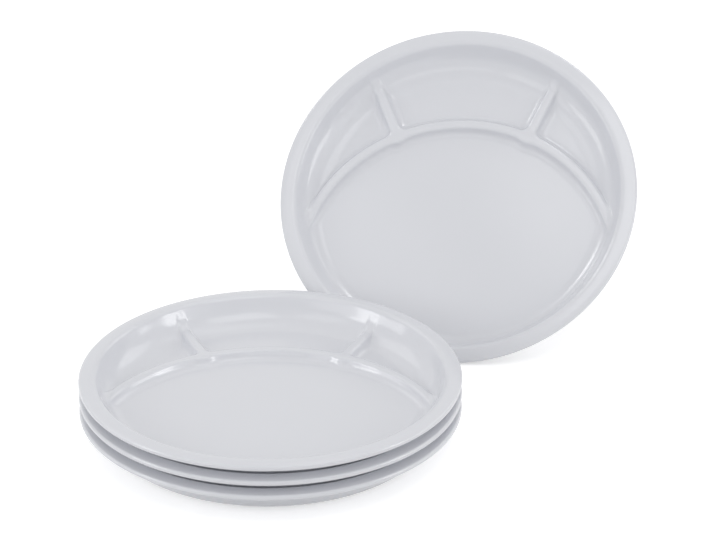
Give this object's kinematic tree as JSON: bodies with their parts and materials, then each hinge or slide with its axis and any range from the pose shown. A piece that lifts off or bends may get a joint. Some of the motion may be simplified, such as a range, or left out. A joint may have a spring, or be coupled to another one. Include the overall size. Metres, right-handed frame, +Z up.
{
  "type": "divided compartment plate set",
  "caption": "Round white divided plates with a large main compartment and smaller side compartments, nested in a stack, with another leaning back beside it.",
  "frame": {"origin": "centre of the bottom plate's foot ring, on the table", "axes": "+Z up, +Y from the large compartment to the small rear one, +X to the right seen from the front"},
  "size_m": [0.3754, 0.4, 0.1741],
  "materials": {
    "white_melamine": "glossy moulded melamine, a slightly cool white"
  },
  "bodies": {
    "bottom_plate": {"bottom_plate": "white_melamine"},
    "middle_plate": {"middle_plate": "white_melamine"},
    "top_plate": {"top_plate": "white_melamine"},
    "leaning_plate": {"leaning_plate": "white_melamine"}
  },
  "joints": [
    {"name": "middle_lift", "type": "slide", "parent": "bottom_plate", "child": "middle_plate", "axis": [0, 0, 1], "range_m": [0, 0.06]},
    {"name": "top_lift", "type": "slide", "parent": "middle_plate", "child": "top_plate", "axis": [0, 0, 1], "range_m": [0, 0.06]},
    {"name": "leaning_lift", "type": "slide", "parent": "bottom_plate", "child": "leaning_plate", "axis": [0, 0, 1], "range_m": [0, 0.06]}
  ]
}
